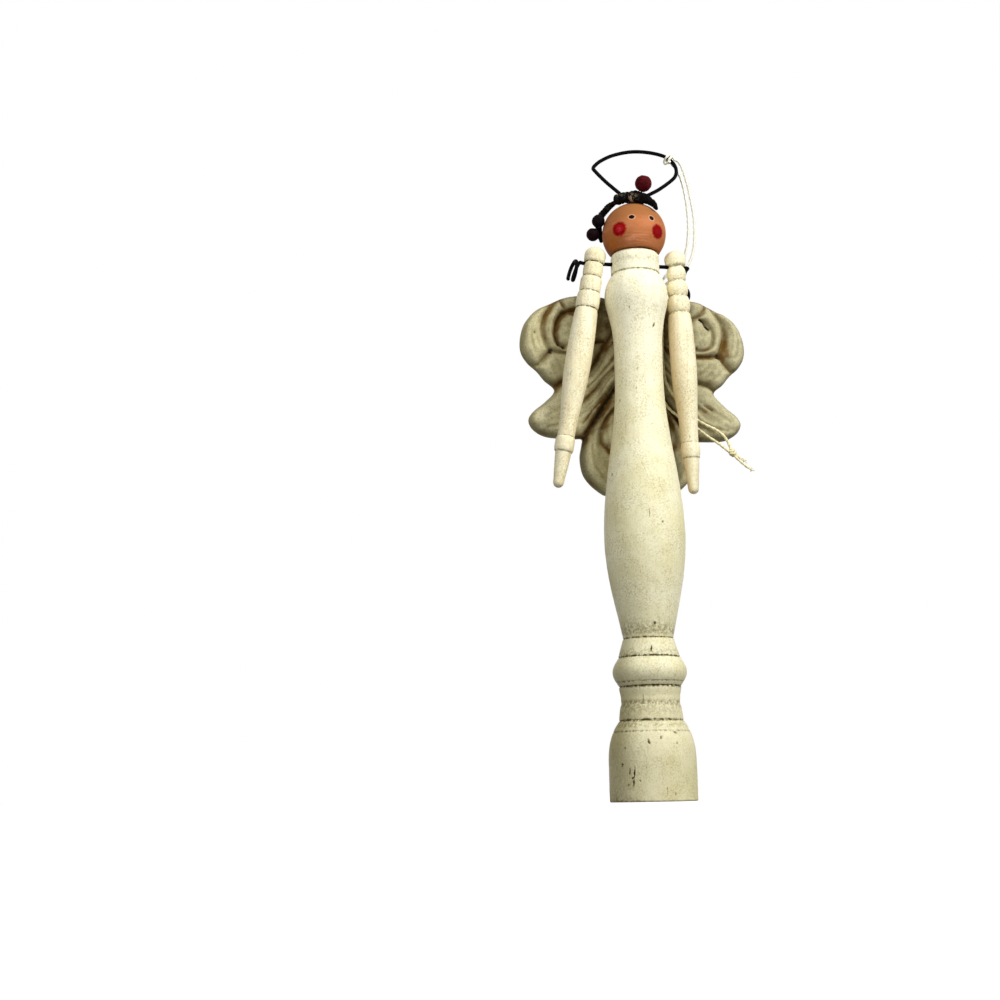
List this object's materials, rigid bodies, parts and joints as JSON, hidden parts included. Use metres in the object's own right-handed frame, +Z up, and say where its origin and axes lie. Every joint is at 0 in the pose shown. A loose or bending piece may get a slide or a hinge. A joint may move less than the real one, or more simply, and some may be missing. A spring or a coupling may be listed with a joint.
{
  "type": "angel doll ornament",
  "caption": "Free-standing angel doll: turned spindle body, ball head with berry garland and wire halo, peg arms swinging on a shoulder wire, cast scroll wings and a hanging cord.",
  "frame": {"origin": "centre of the foot's flat underside, on the spindle's axis", "axes": "+Z up along the spindle; the doll faces -Y and its wings are on the +Y side; +X is the doll's left, the side on the viewer's right"},
  "size_m": [0.0934, 0.0338, 0.2614],
  "materials": {
    "painted_wood": "antique cream paint, crackled and speckled, rubbed on the edges",
    "head_paint": "matt skin-tone paint with painted eyes and cheeks",
    "bare_wood": "unfinished hardwood",
    "black_wire": "black annealed iron wire",
    "wrapped_stem": "dark paper wrapping over thin wire",
    "berry": "dull burgundy with dark specks",
    "cast_wing": "cast resin, stone colour with a brown wash in the recesses",
    "screw": "plain",
    "cord": "thin cotton cord"
  },
  "bodies": {
    "doll": {"body": "painted_wood", "head": "head_paint", "head_dowel": "bare_wood", "arm_wire": "black_wire", "halo": "black_wire", "garland_stem": "wrapped_stem", "garland_sprig": "wrapped_stem", "berry_top": "berry", "berry_side_upper": "berry", "berry_side_lower": "berry", "stalk_top": "wrapped_stem", "stalk_side_upper": "wrapped_stem", "stalk_side_lower": "wrapped_stem", "wings": "cast_wing", "wing_screws": "screw", "cord_strand_a": "cord", "cord_strand_b": "cord", "cord_hitch": "cord", "cord_knot": "cord"},
    "left_arm_body": {"left_arm": "painted_wood"},
    "right_arm_body": {"right_arm": "painted_wood"}
  },
  "joints": [
    {"name": "left_arm_swing", "type": "hinge", "parent": "doll", "child": "left_arm_body", "pos_m": [-0.0169, 0, 0.2106], "axis": [-1, 0, 0], "range_deg": [-3, 140]},
    {"name": "right_arm_swing", "type": "hinge", "parent": "doll", "child": "right_arm_body", "pos_m": [0.0169, 0, 0.2106], "axis": [-1, 0, 0], "range_deg": [-1, 165]}
  ]
}
